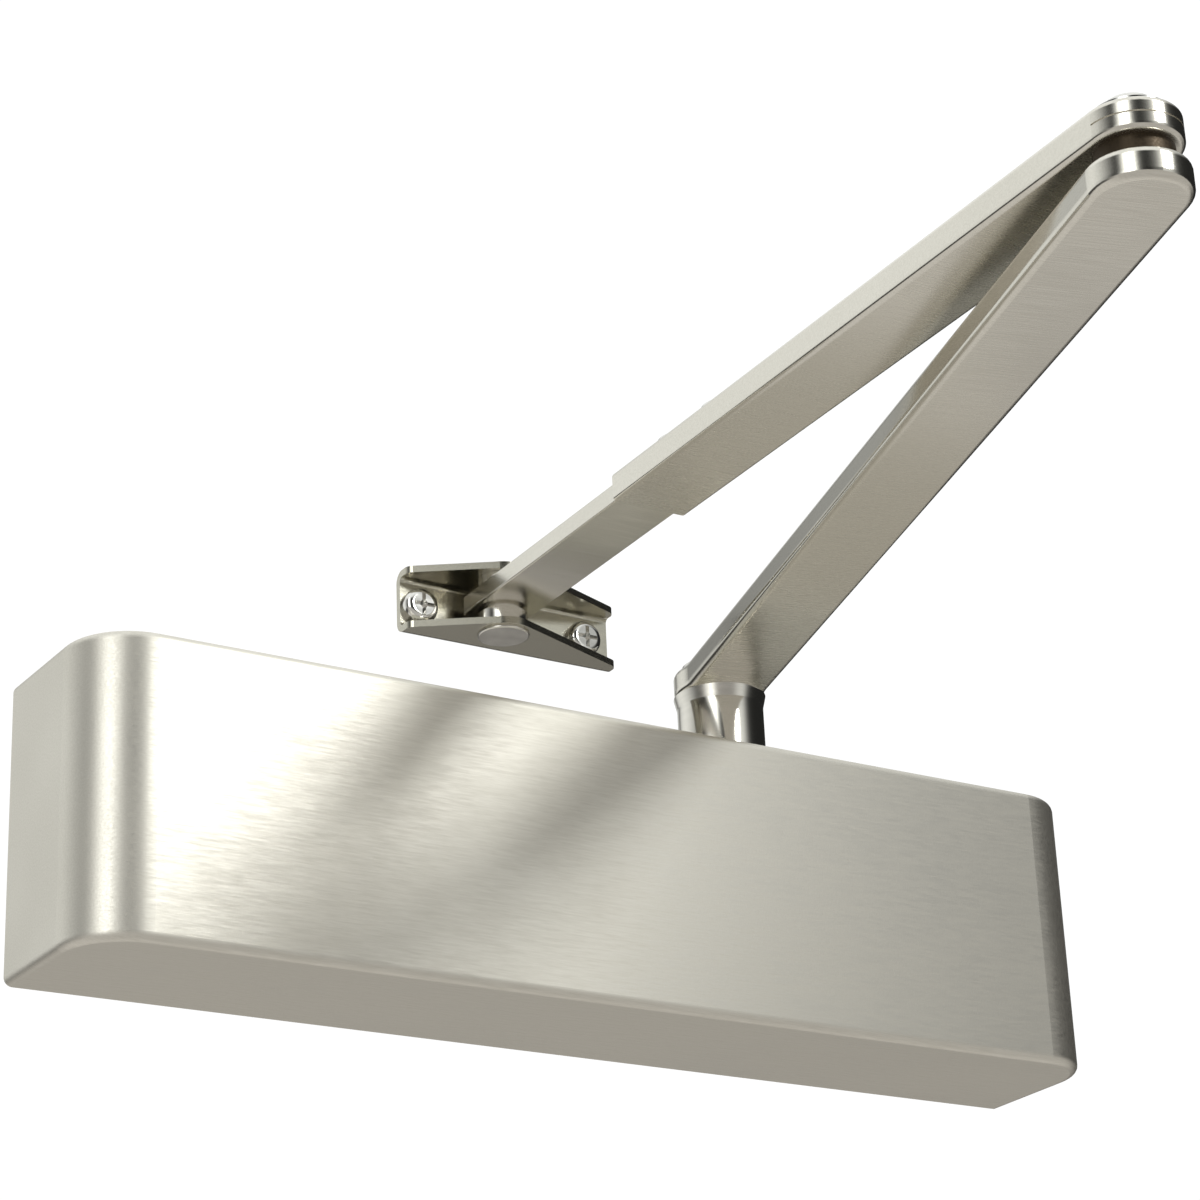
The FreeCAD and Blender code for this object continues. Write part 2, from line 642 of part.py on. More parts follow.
def rack_piston():
    x0 = PISTON_LEFT + PISTON_HEAD
    x1 = PISTON_RIGHT - PISTON_HEAD
    back = AXIS_Y + TIP_R + WINDOW_GAP / 2
    window = prism([V(x0, back, 0), V(x1, back, 0)] + rack_line(x0, x1), 2 * BORE_R)
    window.translate(V(0, 0, -BORE_R))
    pocket_end = PISTON_RIGHT - CHECK_CAP
    pocket_start = pocket_end - 2 * CHECK_BALL_R - CHECK_LIFT - 2 * OPEN_GAP
    guide = rod_x(PISTON_LEFT - 1, PISTON_LEFT + 2.5, GUIDE_OUTER_R).cut(
        rod_x(PISTON_LEFT - 1, PISTON_LEFT + 2.5, GUIDE_INNER_R))
    piston = rod_x(PISTON_LEFT, PISTON_RIGHT, PISTON_R).cut([
        window,
        box(x0, x1, AXIS_Y - BORE_R, 0, TOOTH_HALF, BORE_R),
        box(x0, x1, AXIS_Y - BORE_R, 0, -BORE_R, -TOOTH_HALF),
        guide,
        rod_x(x1 - 1, pocket_start + 1, CHECK_PORT_R),
        rod_x(pocket_start, PISTON_RIGHT + 1, CHECK_POCKET_R),
    ])
    return piston


def check_valve_cap():
    cap = rod_x(PISTON_RIGHT - CHECK_CAP, PISTON_RIGHT, CHECK_POCKET_R - THREAD_GAP)
    return cap.cut(rod_x(PISTON_RIGHT - CHECK_CAP - 1, PISTON_RIGHT + 1, CHECK_PORT_R))


def check_ball():
    seat = PISTON_RIGHT - CHECK_CAP - 2 * CHECK_BALL_R - CHECK_LIFT - 2 * OPEN_GAP
    return Part.makeSphere(CHECK_BALL_R, V(seat + OPEN_GAP + CHECK_BALL_R, AXIS_Y, 0))


# ---------------------------------------------------------------- springs, seat and power adjuster
def coil_spring(mean_r, wire_r, pitch):
    """A compression spring between the seat and the piston, swept along a helix of near that pitch."""
    start = SEAT_RIGHT + wire_r + FACE_GAP
    length = PISTON_LEFT - wire_r - FACE_GAP - start
    turns = round(length / pitch)
    helix = Part.makeHelix(length / turns, length, mean_r)
    section = Part.Wire(Part.makeCircle(wire_r, V(mean_r, 0, 0), V(0, 1, 0)))
    spring = Part.Wire(helix).makePipeShell([section], True, True)
    return pointed(spring, V(start, AXIS_Y, 0), X_AXIS)


def spring_seat():
    disc = rod_x(SEAT_LEFT, SEAT_RIGHT, BORE_R - SEAT_R_GAP)
    guide = rod_x(SEAT_RIGHT, SEAT_RIGHT + GUIDE_LENGTH, GUIDE_OUTER_R).cut(
        rod_x(SEAT_RIGHT, SEAT_RIGHT + GUIDE_LENGTH, GUIDE_INNER_R))
    thread = rod_x(SEAT_LEFT - 1, SEAT_RIGHT + 1, ADJUSTER_R + VALVE_GAP)
    return disc.fuse(guide).cut(thread).removeSplitter()


def adjuster_ring_x():
    return -HOUSING_END + ADJUSTER_HEAD + (PLUG_LENGTH - ADJUSTER_HEAD) / 2


def power_adjuster():
    face = -HOUSING_END
    head = rod_x(face, face + ADJUSTER_HEAD - FACE_GAP, ADJUSTER_HEAD_R)
    shank = rod_x(face + 1, SEAT_RIGHT + ADJUSTER_BEYOND_SEAT, ADJUSTER_R)
    socket = pointed(hexagon(ADJUSTER_KEY, ADJUSTER_HEAD), V(face - 1, AXIS_Y, 0), X_AXIS)
    ring_width = ADJUSTER_RING_R + RING_SLACK
    floor = ADJUSTER_R + VALVE_GAP - RING_SLACK - 2 * ADJUSTER_RING_R - RING_SLACK
    middle = adjuster_ring_x()
    groove = rod_x(middle - ring_width, middle + ring_width, ADJUSTER_R + 1).cut(
        rod_x(middle - ring_width, middle + ring_width, floor))
    return head.fuse(shank).cut([socket, groove]).removeSplitter()


def adjuster_seal():
    centre_line = ADJUSTER_R + VALVE_GAP - RING_SLACK - ADJUSTER_RING_R
    return o_ring(centre_line, ADJUSTER_RING_R, V(adjuster_ring_x(), AXIS_Y, 0), X_AXIS)


def adjuster_circlip():
    start = -HOUSING_END + PLUG_LENGTH + OPEN_GAP
    ring = rod_x(start, start + CIRCLIP, CIRCLIP_R).cut(rod_x(start, start + CIRCLIP, ADJUSTER_R + PRESS_GAP))
    return ring.cut(box(start - 1, start + CIRCLIP + 1, AXIS_Y - 1.2, AXIS_Y + 1.2, 0, CIRCLIP_R + 1))


# ---------------------------------------------------------------- regulating valves
def regulating_valve():
    """A slotted needle valve whose head is on z = 0 and whose tip hangs down."""
    body = Part.makeCylinder(VALVE_R, VALVE_LENGTH - VALVE_TIP, V(0, 0, -(VALVE_LENGTH - VALVE_TIP)))
    tip = Part.makeCone(VALVE_TIP_R, VALVE_R - 0.4, VALVE_TIP, V(0, 0, -VALVE_LENGTH))
    slot = box(-VALVE_R - 1, VALVE_R + 1, -VALVE_SLOT / 2, VALVE_SLOT / 2, -VALVE_SLOT_DEPTH, 1)
    width = VALVE_RING_R + RING_SLACK
    centre_line = VALVE_R - VALVE_RING_R
    low = -VALVE_RING_FROM_HEAD - width
    groove = Part.makeCylinder(VALVE_R + 1, 2 * width, V(0, 0, low)).cut(
        Part.makeCylinder(centre_line - VALVE_RING_R - RING_SLACK, 2 * width, V(0, 0, low)))
    return body.fuse(tip).cut([slot, groove]).removeSplitter()


def valve_place(side, height):
    return V(side * (HOUSING_END - 1), AXIS_Y, height)


def valve_at(side, height):
    return pointed(regulating_valve(), valve_place(side, height), V(side, 0, 0))


def valve_seal_at(side, height):
    ring = o_ring(VALVE_R - VALVE_RING_R, VALVE_RING_R, V(0, 0, -VALVE_RING_FROM_HEAD), Z_AXIS)
    return pointed(ring, valve_place(side, height), V(side, 0, 0))


# ---------------------------------------------------------------- collar and main arm
def spindle_collar():
    low = NUT_TOP + COLLAR_LIFT
    sleeve = rod_z(HUB, low, ARM_Z, COLLAR_R)
    flare = Part.makeCone(COLLAR_R, FLARE_R, FLARE_HEIGHT, V(HUB.x, HUB.y, ARM_Z - FLARE_HEIGHT))
    bore = rod_z(HUB, low - 1, ARM_Z + 1, STEM_R + PRESS_GAP)
    return sleeve.fuse(flare).cut(bore).removeSplitter()


def main_arm():
    arm = bar_outline(ARM_LENGTH, ARM_WIDTH / 2, ARM_HUB_R, 0, ARM_THICKNESS)
    waist = math.sqrt(ARM_HUB_R ** 2 - (ARM_WIDTH / 2) ** 2)
    corners = [edge for side in (-1, 1)
               for edge in upright_edges(arm, V(waist, side * ARM_WIDTH / 2, 0), 0.5)]
    arm = arm.makeFillet(ARM_HUB_BLEND_R, corners)
    arm = arm.makeFillet(ARM_EDGE_R, level_edges(arm, (0, ARM_THICKNESS)))
    half = SQUARE / 2 + THREAD_GAP
    square = box(-half, half, -half, half, -1, ARM_THICKNESS + 1)
    square.rotate(V(0, 0, 0), Z_AXIS, -ARM_ANGLE)
    stud_hole = rod_z(V(ARM_LENGTH, 0, 0), ELBOW_SKIN, ARM_THICKNESS + 1, ELBOW_STUD_R + PRESS_GAP)
    return moved(arm.cut([square, stud_hole]), HUB + V(0, 0, ARM_Z), ARM_ANGLE)


def arm_washer():
    return ring_z(HUB, ARM_TOP, ARM_TOP + ARM_WASHER, ARM_WASHER_R, ARM_SCREW_R + OPEN_GAP)


def arm_screw():
    screw = key_screw(ARM_SCREW_R, ARM_SCREW_LENGTH, ARM_SCREW_HEAD_R, ARM_SCREW_HEAD, ARM_SCREW_KEY)
    return moved(screw, HUB + V(0, 0, ARM_TOP + ARM_WASHER))


# ---------------------------------------------------------------- elbow
def elbow_stud():
    low = ARM_Z + ELBOW_SKIN + FACE_GAP
    top = TUBE_TOP - FACE_GAP
    shaft = rod_z(ELBOW, low, top, ELBOW_STUD_R)
    return shaft.cut(rod_z(ELBOW, top - ELBOW_SCREW_LENGTH - 0.5, top + 1, ELBOW_SCREW_R + THREAD_GAP))


def elbow_bush():
    """A flanged bush pressed into the forearm; its thick flange keeps the two arms apart."""
    flange = rod_z(ELBOW, ARM_TOP + FACE_GAP, TUBE_Z, ELBOW_FLANGE_R)
    barrel = rod_z(ELBOW, TUBE_Z, TUBE_TOP - FACE_GAP, ELBOW_BUSH_R)
    bore = rod_z(ELBOW, ARM_TOP, TUBE_TOP + 1, ELBOW_STUD_R + RUNNING_FIT)
    return flange.fuse(barrel).cut(bore).removeSplitter()


def elbow_washer():
    low = TUBE_TOP + FACE_GAP
    return ring_z(ELBOW, low, low + ELBOW_WASHER, ELBOW_WASHER_R, ELBOW_SCREW_R + OPEN_GAP)


def elbow_screw():
    screw = key_screw(ELBOW_SCREW_R, ELBOW_SCREW_LENGTH, ELBOW_SCREW_HEAD_R, ELBOW_SCREW_HEAD, ELBOW_SCREW_R * 1.2)
    return moved(screw, ELBOW + V(0, 0, TUBE_TOP + FACE_GAP + ELBOW_WASHER))


# ---------------------------------------------------------------- telescoping forearm
def forearm_tube():
    half = TUBE_WIDTH / 2
    body = box(0, TUBE_LENGTH, -half, half, 0, TUBE_THICKNESS).fuse(rod_z(V(0, 0, 0), 0, TUBE_THICKNESS, half))
    body = body.removeSplitter()
    long_edges = [edge for edge in level_edges(body, (0, TUBE_THICKNESS)) if edge.BoundBox.XMin < TUBE_LENGTH - 1]
    body = body.makeFillet(TUBE_EDGE_R, long_edges)
    slot = BAR_WIDTH / 2 + OPEN_GAP
    cavity = box(TUBE_SOLID_END, TUBE_LENGTH + 1, -slot, slot, TUBE_WALL, TUBE_THICKNESS - TUBE_WALL)
    middle = TUBE_THICKNESS / 2
    seam = ring_z(V(0, 0, 0), middle - SEAM_HEIGHT / 2, middle + SEAM_HEIGHT / 2, half + 1, half - SEAM_DEPTH)
    seam = seam.common(box(-half - 1, 0, -half - 1, half + 1, 0, TUBE_THICKNESS))
    cuts = [cavity, seam, rod_z(V(0, 0, 0), -1, TUBE_THICKNESS + 1, ELBOW_BUSH_R + PRESS_GAP)]
    for back in LOCK_FROM_MOUTH:
        place = V(TUBE_LENGTH - back, 0, 0)
        body = body.fuse(rod_z(place, TUBE_THICKNESS - 0.2, TUBE_THICKNESS + LOCK_BOSS, LOCK_BOSS_R))
        cuts.append(rod_z(place, TUBE_THICKNESS / 2, TUBE_THICKNESS + LOCK_BOSS + 1, LOCK_SCREW_R + THREAD_GAP))
    return moved(body.cut(cuts).removeSplitter(), ELBOW + V(0, 0, TUBE_Z), FOREARM_ANGLE)


def forearm_lock_screws():
    seat = TUBE_TOP + LOCK_BOSS + LOCK_HEAD_LIFT
    length = seat - BAR_TOP - LOCK_TIP_GAP
    screw = key_screw(LOCK_SCREW_R, length, LOCK_HEAD_R, LOCK_HEAD, LOCK_KEY)
    return Part.makeCompound([moved(screw, ELBOW + FOREARM_DIRECTION * (TUBE_LENGTH - back) + V(0, 0, seat))
                              for back in LOCK_FROM_MOUTH])


def forearm_bar():
    start = TUBE_LENGTH - BAR_INSERTED
    end = FOREARM_LENGTH + BAR_TAIL
    half = BAR_WIDTH / 2
    bar = box(start, end, -half, half, 0, BAR_THICKNESS)
    bar = bar.makeFillet(BAR_CORNER_R, [edge for edge in bar.Edges if edge.BoundBox.ZLength > 1])
    bar = bar.makeFillet(BAR_EDGE_R, level_edges(bar, (0, BAR_THICKNESS)))
    pivot = rod_z(V(FOREARM_LENGTH, 0, 0), -1, BAR_THICKNESS + 1, RIVET_R + RUNNING_FIT)
    return moved(bar.cut(pivot), ELBOW + V(0, 0, BAR_Z), FOREARM_ANGLE)


# ---------------------------------------------------------------- frame shoe
def shoe_spacers():
    """Rings on the rivet each side of the bar; the lower one has a narrow neck under the bar."""
    inner = RIVET_R + RUNNING_FIT
    lower = ring_z(SHOE_PIVOT, LOWER_LUG_TOP + FACE_GAP, BAR_Z - SPACER_NECK, SPACER_R, inner)
    lower = lower.fuse(ring_z(SHOE_PIVOT, BAR_Z - SPACER_NECK, BAR_Z, SPACER_NECK_R, inner)).removeSplitter()
    upper = ring_z(SHOE_PIVOT, BAR_TOP, UPPER_LUG_BOTTOM - FACE_GAP, SPACER_R, inner)
    return Part.makeCompound([lower, upper])


def tangent_point(corner, centre, radius, side):
    """Where the line from a corner touches a circle, on its left (1) or right (-1) as seen from the corner."""
    away = centre - corner
    distance = math.hypot(away.x, away.y)
    turn = math.acos(radius / distance)
    angle = math.atan2(-away.y, -away.x) - side * turn
    return centre + polar(radius, angle)


def shoe_outline():
    """The lug's plan: a straight bend line, two short ends, and sides that run tangent to the pivot's round."""
    left = SHOE_PIVOT.x - SHOE_LEFT
    right = SHOE_PIVOT.x + SHOE_RIGHT
    back = SHOE_BACK_Y
    front = back - SHOE_END_DEPTH
    pivot = V(SHOE_PIVOT.x, SHOE_PIVOT.y, 0)
    left_corner = V(left, front, 0)
    right_corner = V(right, front, 0)
    left_touch = tangent_point(left_corner, pivot, SHOE_APEX_R, -1)
    right_touch = tangent_point(right_corner, pivot, SHOE_APEX_R, 1)
    nose = pivot - V(0, SHOE_APEX_R, 0)
    edges = [
        Part.makeLine(V(right, back, 0), V(left, back, 0)),
        Part.makeLine(V(left, back, 0), left_corner),
        Part.makeLine(left_corner, left_touch),
        Part.Arc(left_touch, nose, right_touch).toShape(),
        Part.makeLine(right_touch, right_corner),
        Part.makeLine(right_corner, V(right, back, 0)),
    ]
    plan = Part.Face(Part.Wire(edges)).extrude(V(0, 0, SHOE_TOP - SHOE_BOTTOM))
    ends = [edge for corner in (left_corner, right_corner) for edge in upright_edges(plan, corner, 0.1)]
    plan = plan.makeFillet(SHOE_END_R, ends)
    plan.translate(V(0, 0, SHOE_BOTTOM))
    return plan


def shoe_channel():
    """The U section of the folded plate, carried along X, with the bends' outer and inner radii."""
    left = SHOE_PIVOT.x - SHOE_LEFT - 1
    right = SHOE_PIVOT.x + SHOE_RIGHT + 1
    front = SHOE_PIVOT.y - SHOE_APEX_R - 1
    outer = box(left, right, front, SHOE_BACK_Y, SHOE_BOTTOM, SHOE_TOP)
    rear = [edge for edge in outer.Edges if edge.BoundBox.XLength > 1 and edge.BoundBox.YMin > SHOE_BACK_Y - 0.1]
    outer = outer.makeFillet(SHOE_BEND_R + SHOE_PLATE, rear)
    inner = box(left - 1, right + 1, front - 1, SHOE_FRONT_FACE_Y, LOWER_LUG_TOP, UPPER_LUG_BOTTOM)
    bends = [edge for edge in inner.Edges
             if edge.BoundBox.XLength > 1 and edge.BoundBox.YMin > SHOE_FRONT_FACE_Y - 0.1]
    return outer.cut(inner.makeFillet(SHOE_BEND_R, bends))


def shoe_screw_places():
    return [V(SHOE_PIVOT.x + offset, SHOE_FRONT_FACE_Y, SHOE_SCREW_Z)
            for offset in (-SHOE_SCREW_LEFT, SHOE_SCREW_RIGHT)]


def shoe_bracket():
    shell = shoe_channel().common(shoe_outline())
    cuts = [rod_z(SHOE_PIVOT, SHOE_BOTTOM - 1, SHOE_TOP + 1, RIVET_R + RUNNING_FIT)]
    for place in shoe_screw_places():
        cuts.append(Part.makeCylinder(SHOE_SCREW_R + VALVE_GAP, SHOE_PLATE + 2, place - V(0, 1, 0), V(0, 1, 0)))
    return shell.cut(cuts).removeSplitter()


def shoe_rivet():
    lower = rod_z(SHOE_PIVOT, SHOE_BOTTOM - RIVET_HEAD, SHOE_BOTTOM, RIVET_HEAD_R)
    lower = lower.makeFillet(RIVET_EDGE_R, level_edges(lower, (SHOE_BOTTOM - RIVET_HEAD,)))
    upper = rod_z(SHOE_PIVOT, SHOE_TOP, SHOE_TOP + RIVET_HEAD, RIVET_HEAD_R)
    upper = upper.makeFillet(RIVET_EDGE_R, level_edges(upper, (SHOE_TOP + RIVET_HEAD,)))
    return lower.fuse([upper, rod_z(SHOE_PIVOT, SHOE_BOTTOM, SHOE_TOP, RIVET_R)]).removeSplitter()


def shoe_screws():
    """Pan-head screws: a thinner neck passes the plate, and the threaded length shows behind it."""
    neck = SHOE_PLATE + SHOE_SCREW_NECK_PAST
    length = SHOE_PLATE + SHOE_SCREW_BEHIND
    screw = cross_screw(SHOE_SCREW_NECK_R, neck, SHOE_SCREW_HEAD_R, SHOE_SCREW_HEAD)
    screw = screw.fuse(Part.makeCylinder(SHOE_SCREW_R, length - neck, V(0, 0, -length))).removeSplitter()
    return Part.makeCompound([pointed(screw, place, V(0, -1, 0)) for place in shoe_screw_places()])


NODES = {
    "cover": cover,
    "cover_clips": cover_clips,
    "cover_clip_screws": cover_clip_screws,
    "housing": housing,
    "valve_end_plug": valve_end_plug,
    "spring_end_plug": spring_end_plug,
    "plug_seals": plug_seals,
    "upper_bearing": lambda: bearing(1),
    "lower_bearing": lambda: bearing(-1),
    "upper_bearing_nut": lambda: bearing_nut(1),
    "lower_bearing_nut": lambda: bearing_nut(-1),
    "upper_shaft_seal": lambda: shaft_seal(1),
    "lower_shaft_seal": lambda: shaft_seal(-1),
    "pinion_spindle": pinion_spindle,
    "spindle_collar": spindle_collar,
    "rack_piston": rack_piston,
    "check_valve_cap": check_valve_cap,
    "check_ball": check_ball,
    "outer_spring": lambda: coil_spring(OUTER_SPRING_R, OUTER_WIRE_R, OUTER_PITCH),
    "inner_spring": lambda: coil_spring(INNER_SPRING_R, INNER_WIRE_R, INNER_PITCH),
    "spring_seat": spring_seat,
    "power_adjuster": power_adjuster,
    "adjuster_seal": adjuster_seal,
    "adjuster_circlip": adjuster_circlip,
    "closing_valve": lambda: valve_at(1, LOBE_Z),
    "closing_valve_seal": lambda: valve_seal_at(1, LOBE_Z),
    "latching_valve": lambda: valve_at(1, -LOBE_Z),
    "latching_valve_seal": lambda: valve_seal_at(1, -LOBE_Z),
    "backcheck_valve": lambda: valve_at(-1, LOBE_Z),
    "backcheck_valve_seal": lambda: valve_seal_at(-1, LOBE_Z),
    "main_arm": main_arm,
    "arm_washer": arm_washer,
    "arm_screw": arm_screw,
    "elbow_stud": elbow_stud,
    "elbow_bush": elbow_bush,
    "elbow_washer": elbow_washer,
    "elbow_screw": elbow_screw,
    "forearm_tube": forearm_tube,
    "forearm_lock_screws": forearm_lock_screws,
    "forearm_bar": forearm_bar,
    "shoe_spacers": shoe_spacers,
    "shoe_bracket": shoe_bracket,
    "shoe_rivet": shoe_rivet,
    "shoe_screws": shoe_screws,
}

os.makedirs("parts", exist_ok=True)
for name, make in NODES.items():
    shape = make()
    shape.exportStep(f"parts/{name}.step")
    print(name, "solids", len(shape.Solids), "valid", shape.isValid(), "volume", round(shape.Volume, 1))
print("spindle", round(SPINDLE_X, 3), round(AXIS_Y, 3), "stroke", round(STROKE, 3), "pitch radius", PITCH_R)
print("elbow", [round(v, 3) for v in ELBOW], "shoe pivot", [round(v, 3) for v in SHOE_PIVOT])
print("cover depth", round(COVER_DEPTH, 3), "fixing", FIXING_X, FIXING_HALF_SPACING)
print("shoe back", round(SHOE_BACK_Y, 3), "screw height", round(SHOE_SCREW_Z, 3))
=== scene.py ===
import json
import math
import bpy
import numpy as np
from mathutils import Matrix, Vector


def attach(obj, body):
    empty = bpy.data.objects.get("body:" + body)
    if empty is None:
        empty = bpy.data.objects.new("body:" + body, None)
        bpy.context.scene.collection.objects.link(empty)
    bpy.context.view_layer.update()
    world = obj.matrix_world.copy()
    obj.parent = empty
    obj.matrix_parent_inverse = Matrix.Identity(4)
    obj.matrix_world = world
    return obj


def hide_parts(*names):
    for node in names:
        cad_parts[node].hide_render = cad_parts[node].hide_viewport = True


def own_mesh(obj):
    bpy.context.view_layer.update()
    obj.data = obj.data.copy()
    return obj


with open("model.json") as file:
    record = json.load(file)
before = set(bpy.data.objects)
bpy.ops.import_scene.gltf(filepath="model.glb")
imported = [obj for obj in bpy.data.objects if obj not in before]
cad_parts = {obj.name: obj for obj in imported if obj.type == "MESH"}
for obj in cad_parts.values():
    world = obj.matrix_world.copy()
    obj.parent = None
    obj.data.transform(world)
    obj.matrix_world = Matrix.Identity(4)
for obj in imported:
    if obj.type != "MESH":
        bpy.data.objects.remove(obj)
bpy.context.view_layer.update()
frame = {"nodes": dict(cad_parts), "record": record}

# An overhead door closer in satin nickel. Metres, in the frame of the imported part: +X along the cover,
# +Y into the door, +Z up.

ARM_HEADING = math.radians(-105.35)
FOREARM_HEADING = math.radians(89.16)
ACROSS = math.radians(90)


# ---------------------------------------------------------------- shader helpers
NOISE_BAND = (0.3, 0.7)          # most of a noise's values lie between these
CLOUD_GRAIN = (18.0, 26.0, 26.0)
STREAK_SHARE = 0.75              # of the streaks in a brushed metal's tone; the clouds add the rest
FLAT_BAND = (0.7, 0.97)          # how level a face is where the side's polish gives way to the flat's
LEVEL_FACE_LEAN = (-0.05, 0.0, 0.0)


def start_material(name):
    """An empty material whose Principled shader is wired to the output, with its nodes, links and shader."""
    material = bpy.data.materials.new(name)
    material.use_nodes = True
    nodes, links = material.node_tree.nodes, material.node_tree.links
    shader = next(n for n in nodes if n.type == "BSDF_PRINCIPLED")
    return material, nodes, links, shader


def add_node(nodes, kind, **settings):
    """A new node of one kind, with its settings given by name."""
    node = nodes.new(kind)
    for key, value in settings.items():
        setattr(node, key, value)
    return node


def object_pattern(nodes, links, heading, scale):
    """Object coordinates turned so that X runs along a heading, then stretched by a scale on each axis."""
    place = add_node(nodes, "ShaderNodeTexCoord")
    turn = add_node(nodes, "ShaderNodeMapping")
    turn.inputs["Rotation"].default_value = (0.0, 0.0, -heading)
    stretch = add_node(nodes, "ShaderNodeMapping")
    stretch.inputs["Scale"].default_value = scale
    links.new(place.outputs["Object"], turn.inputs["Vector"])
    links.new(turn.outputs["Vector"], stretch.inputs["Vector"])
    return stretch.outputs["Vector"]


def noise(nodes, links, vector, detail, roughness=0.5):
    """A noise over a pattern that already has its scale."""
    node = add_node(nodes, "ShaderNodeTexNoise")
    node.inputs["Scale"].default_value = 1.0
    node.inputs["Detail"].default_value = detail
    node.inputs["Roughness"].default_value = roughness
    links.new(vector, node.inputs["Vector"])
    return node.outputs["Fac"]


def speckle(nodes, links, fineness, detail=3.0):
    """A noise of the same fineness on every axis."""
    return noise(nodes, links, object_pattern(nodes, links, 0.0, (fineness, fineness, fineness)), detail)


def remap(nodes, links, value, low, high, out_low, out_high):
    """The value carried in a straight line from one range to another, and held at the ends."""
    node = add_node(nodes, "ShaderNodeMapRange")
    for key, number in (("From Min", low), ("From Max", high), ("To Min", out_low), ("To Max", out_high)):
        node.inputs[key].default_value = number
    links.new(value, node.inputs["Value"])
    return node.outputs["Result"]


def blend_colours(nodes, links, factor, first, second):
    """The first colour where the factor is 0 and the second where it is 1."""
    node = add_node(nodes, "ShaderNodeMix", data_type="RGBA")
    node.inputs[6].default_value = (*first, 1.0)
    node.inputs[7].default_value = (*second, 1.0)
    links.new(factor, node.inputs[0])
    return node.outputs[2]


def bump(nodes, links, height, shader, strength, distance):
    """Relief of a height, at most one distance deep, on the shader's normal."""
    node = add_node(nodes, "ShaderNodeBump")
    node.inputs["Strength"].default_value = strength
    node.inputs["Distance"].default_value = distance
    links.new(height, node.inputs["Height"])
    links.new(node.outputs["Normal"], shader.inputs["Normal"])


def brushed_metal(name, light, dark, rough, heading, grain, relief=0.12, spread=0.05, stretch=0.0,
                  side_rough=None):
    """Satin metal: fine streaks along a heading vary its colour, roughness and relief, over slow clouds.
    stretch draws highlights out across the grain of upright walls, and side_rough gives upright faces a
    polish of their own."""
    material, nodes, links, shader = start_material(name)
    shader.inputs["Metallic"].default_value = 1.0
    streaks = noise(nodes, links, object_pattern(nodes, links, heading, grain), 3.0, 0.6)
    clouds = noise(nodes, links, object_pattern(nodes, links, heading, CLOUD_GRAIN), 2.0)
    both = add_node(nodes, "ShaderNodeMath", operation="MULTIPLY_ADD")
    both.inputs[1].default_value = STREAK_SHARE
    links.new(streaks, both.inputs[0])
    links.new(remap(nodes, links, clouds, *NOISE_BAND, 0.05, 0.2), both.inputs[2])
    tone = remap(nodes, links, both.outputs["Value"], *NOISE_BAND, 0.0, 1.0)
    links.new(blend_colours(nodes, links, tone, dark, light), shader.inputs["Base Color"])
    satin = remap(nodes, links, both.outputs["Value"], *NOISE_BAND, rough + spread, rough - spread)
    if side_rough is not None:
        satin = rougher_on_flats(nodes, links, satin, side_rough)
    links.new(satin, shader.inputs["Roughness"])
    bump(nodes, links, streaks, shader, strength=relief, distance=0.00004)
    if stretch > 0.0:
        shader.inputs["Anisotropic"].default_value = stretch
        shader.inputs["Anisotropic Rotation"].default_value = 0.25
        links.new(level_direction(nodes, links), shader.inputs["Tangent"])
    return material


def level_direction(nodes, links):
    """The level direction along a surface: its normal crossed with Z, plus a lean for level faces."""
    facing = add_node(nodes, "ShaderNodeTexCoord")
    cross = add_node(nodes, "ShaderNodeVectorMath", operation="CROSS_PRODUCT")
    cross.inputs[1].default_value = (0.0, 0.0, 1.0)
    links.new(facing.outputs["Normal"], cross.inputs[0])
    lean = add_node(nodes, "ShaderNodeVectorMath", operation="ADD")
    lean.inputs[1].default_value = LEVEL_FACE_LEAN
    links.new(cross.outputs["Vector"], lean.inputs[0])
    turn = add_node(nodes, "ShaderNodeVectorTransform", vector_type="VECTOR", convert_from="OBJECT",
                    convert_to="WORLD")
    links.new(lean.outputs["Vector"], turn.inputs["Vector"])
    return turn.outputs["Vector"]


def rougher_on_flats(nodes, links, flat_value, side_value):
    """The value for level faces where the normal's Z is near 1 or -1, and the side value elsewhere."""
    facing = add_node(nodes, "ShaderNodeTexCoord")
    split = add_node(nodes, "ShaderNodeSeparateXYZ")
    links.new(facing.outputs["Normal"], split.inputs["Vector"])
    level = add_node(nodes, "ShaderNodeMath", operation="ABSOLUTE")
    links.new(split.outputs["Z"], level.inputs[0])
    share = remap(nodes, links, level.outputs["Value"], *FLAT_BAND, 0.0, 1.0)
    pick = add_node(nodes, "ShaderNodeMix", data_type="FLOAT")
    pick.inputs[2].default_value = side_value
    links.new(share, pick.inputs[0])
    links.new(flat_value, pick.inputs[3])
    return pick.outputs[0]


def bright_metal(name, colour, shade, rough):
    """Plated metal: nearly mirror bright, with faint turning haze and small pits."""
    material, nodes, links, shader = start_material(name)
    shader.inputs["Metallic"].default_value = 1.0
    haze = noise(nodes, links, object_pattern(nodes, links, 0.0, (220.0, 220.0, 900.0)), 3.0)
    links.new(blend_colours(nodes, links, haze, shade, colour), shader.inputs["Base Color"])
    satin = remap(nodes, links, haze, *NOISE_BAND, rough - 0.03, rough + 0.05)
    links.new(satin, shader.inputs["Roughness"])
    bump(nodes, links, haze, shader, strength=0.05, distance=0.00002)
    return material


